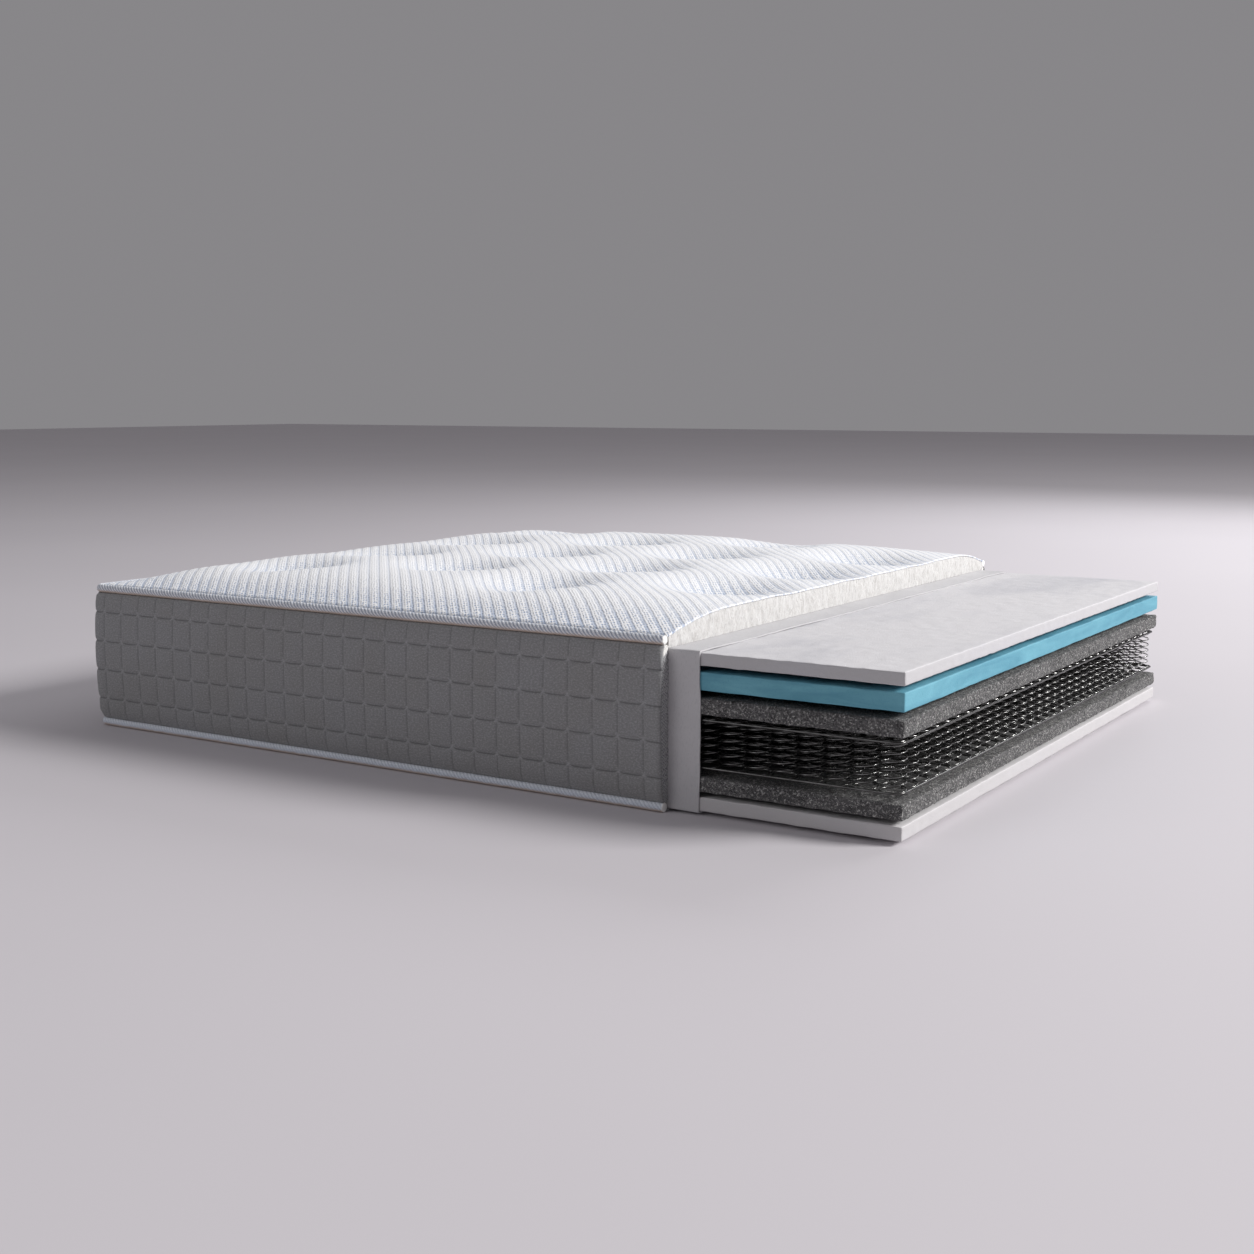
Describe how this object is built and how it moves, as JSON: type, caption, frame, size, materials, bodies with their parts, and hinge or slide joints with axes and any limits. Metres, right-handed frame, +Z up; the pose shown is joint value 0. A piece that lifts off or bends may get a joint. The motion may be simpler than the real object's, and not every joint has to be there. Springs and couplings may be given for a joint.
{
  "type": "memory foam mattress",
  "caption": "Cutaway hybrid mattress: quilted knit cover cut back over foam, gel memory foam, felt pads, a steel coil spring unit and a foam base.",
  "frame": {"origin": "centre of the whole mattress in plan, on the plane of its underside", "axes": "+X along the mattress from the closed end of the cover to the open display end, +Y across it to the rear side, +Z up"},
  "size_m": [1.942, 1.602, 0.3522],
  "materials": {
    "base_foam": "matte",
    "comfort_foam": "matte",
    "gel_memory_foam": "matte",
    "felt_pad": "matte",
    "border_rod": "satin",
    "coil_steel": "satin",
    "inner_sleeve": "matte",
    "wadding": "matte",
    "top_knit": "matte",
    "border_fabric": "matte",
    "piping_tape": "matte",
    "bottom_fabric": "matte"
  },
  "bodies": {
    "root": {"base_foam": "base_foam", "lower_felt_pad": "felt_pad", "lower_border_rod": "border_rod", "coil_row_01": "coil_steel", "coil_row_02": "coil_steel", "coil_row_03": "coil_steel", "coil_row_04": "coil_steel", "coil_row_05": "coil_steel", "coil_row_06": "coil_steel", "coil_row_07": "coil_steel", "coil_row_08": "coil_steel", "coil_row_09": "coil_steel", "coil_row_10": "coil_steel", "coil_row_11": "coil_steel", "coil_row_12": "coil_steel", "coil_row_13": "coil_steel", "coil_row_14": "coil_steel", "coil_row_15": "coil_steel", "coil_row_16": "coil_steel", "coil_row_17": "coil_steel", "coil_row_18": "coil_steel", "coil_row_19": "coil_steel", "coil_row_20": "coil_steel", "coil_row_21": "coil_steel", "coil_row_22": "coil_steel", "coil_row_23": "coil_steel", "coil_row_24": "coil_steel", "coil_row_25": "coil_steel", "coil_row_26": "coil_steel", "coil_row_27": "coil_steel", "coil_row_28": "coil_steel", "coil_row_29": "coil_steel", "coil_row_30": "coil_steel", "coil_row_31": "coil_steel", "upper_border_rod": "border_rod", "upper_felt_pad": "felt_pad", "gel_memory_foam": "gel_memory_foam", "comfort_foam": "comfort_foam", "inner_sleeve": "inner_sleeve", "quilt_wadding": "wadding", "top_panel": "top_knit", "top_piping": "piping_tape", "border_wadding": "wadding", "border_panel": "border_fabric", "bottom_piping": "piping_tape", "bottom_panel": "bottom_fabric"}
  },
  "joints": []
}
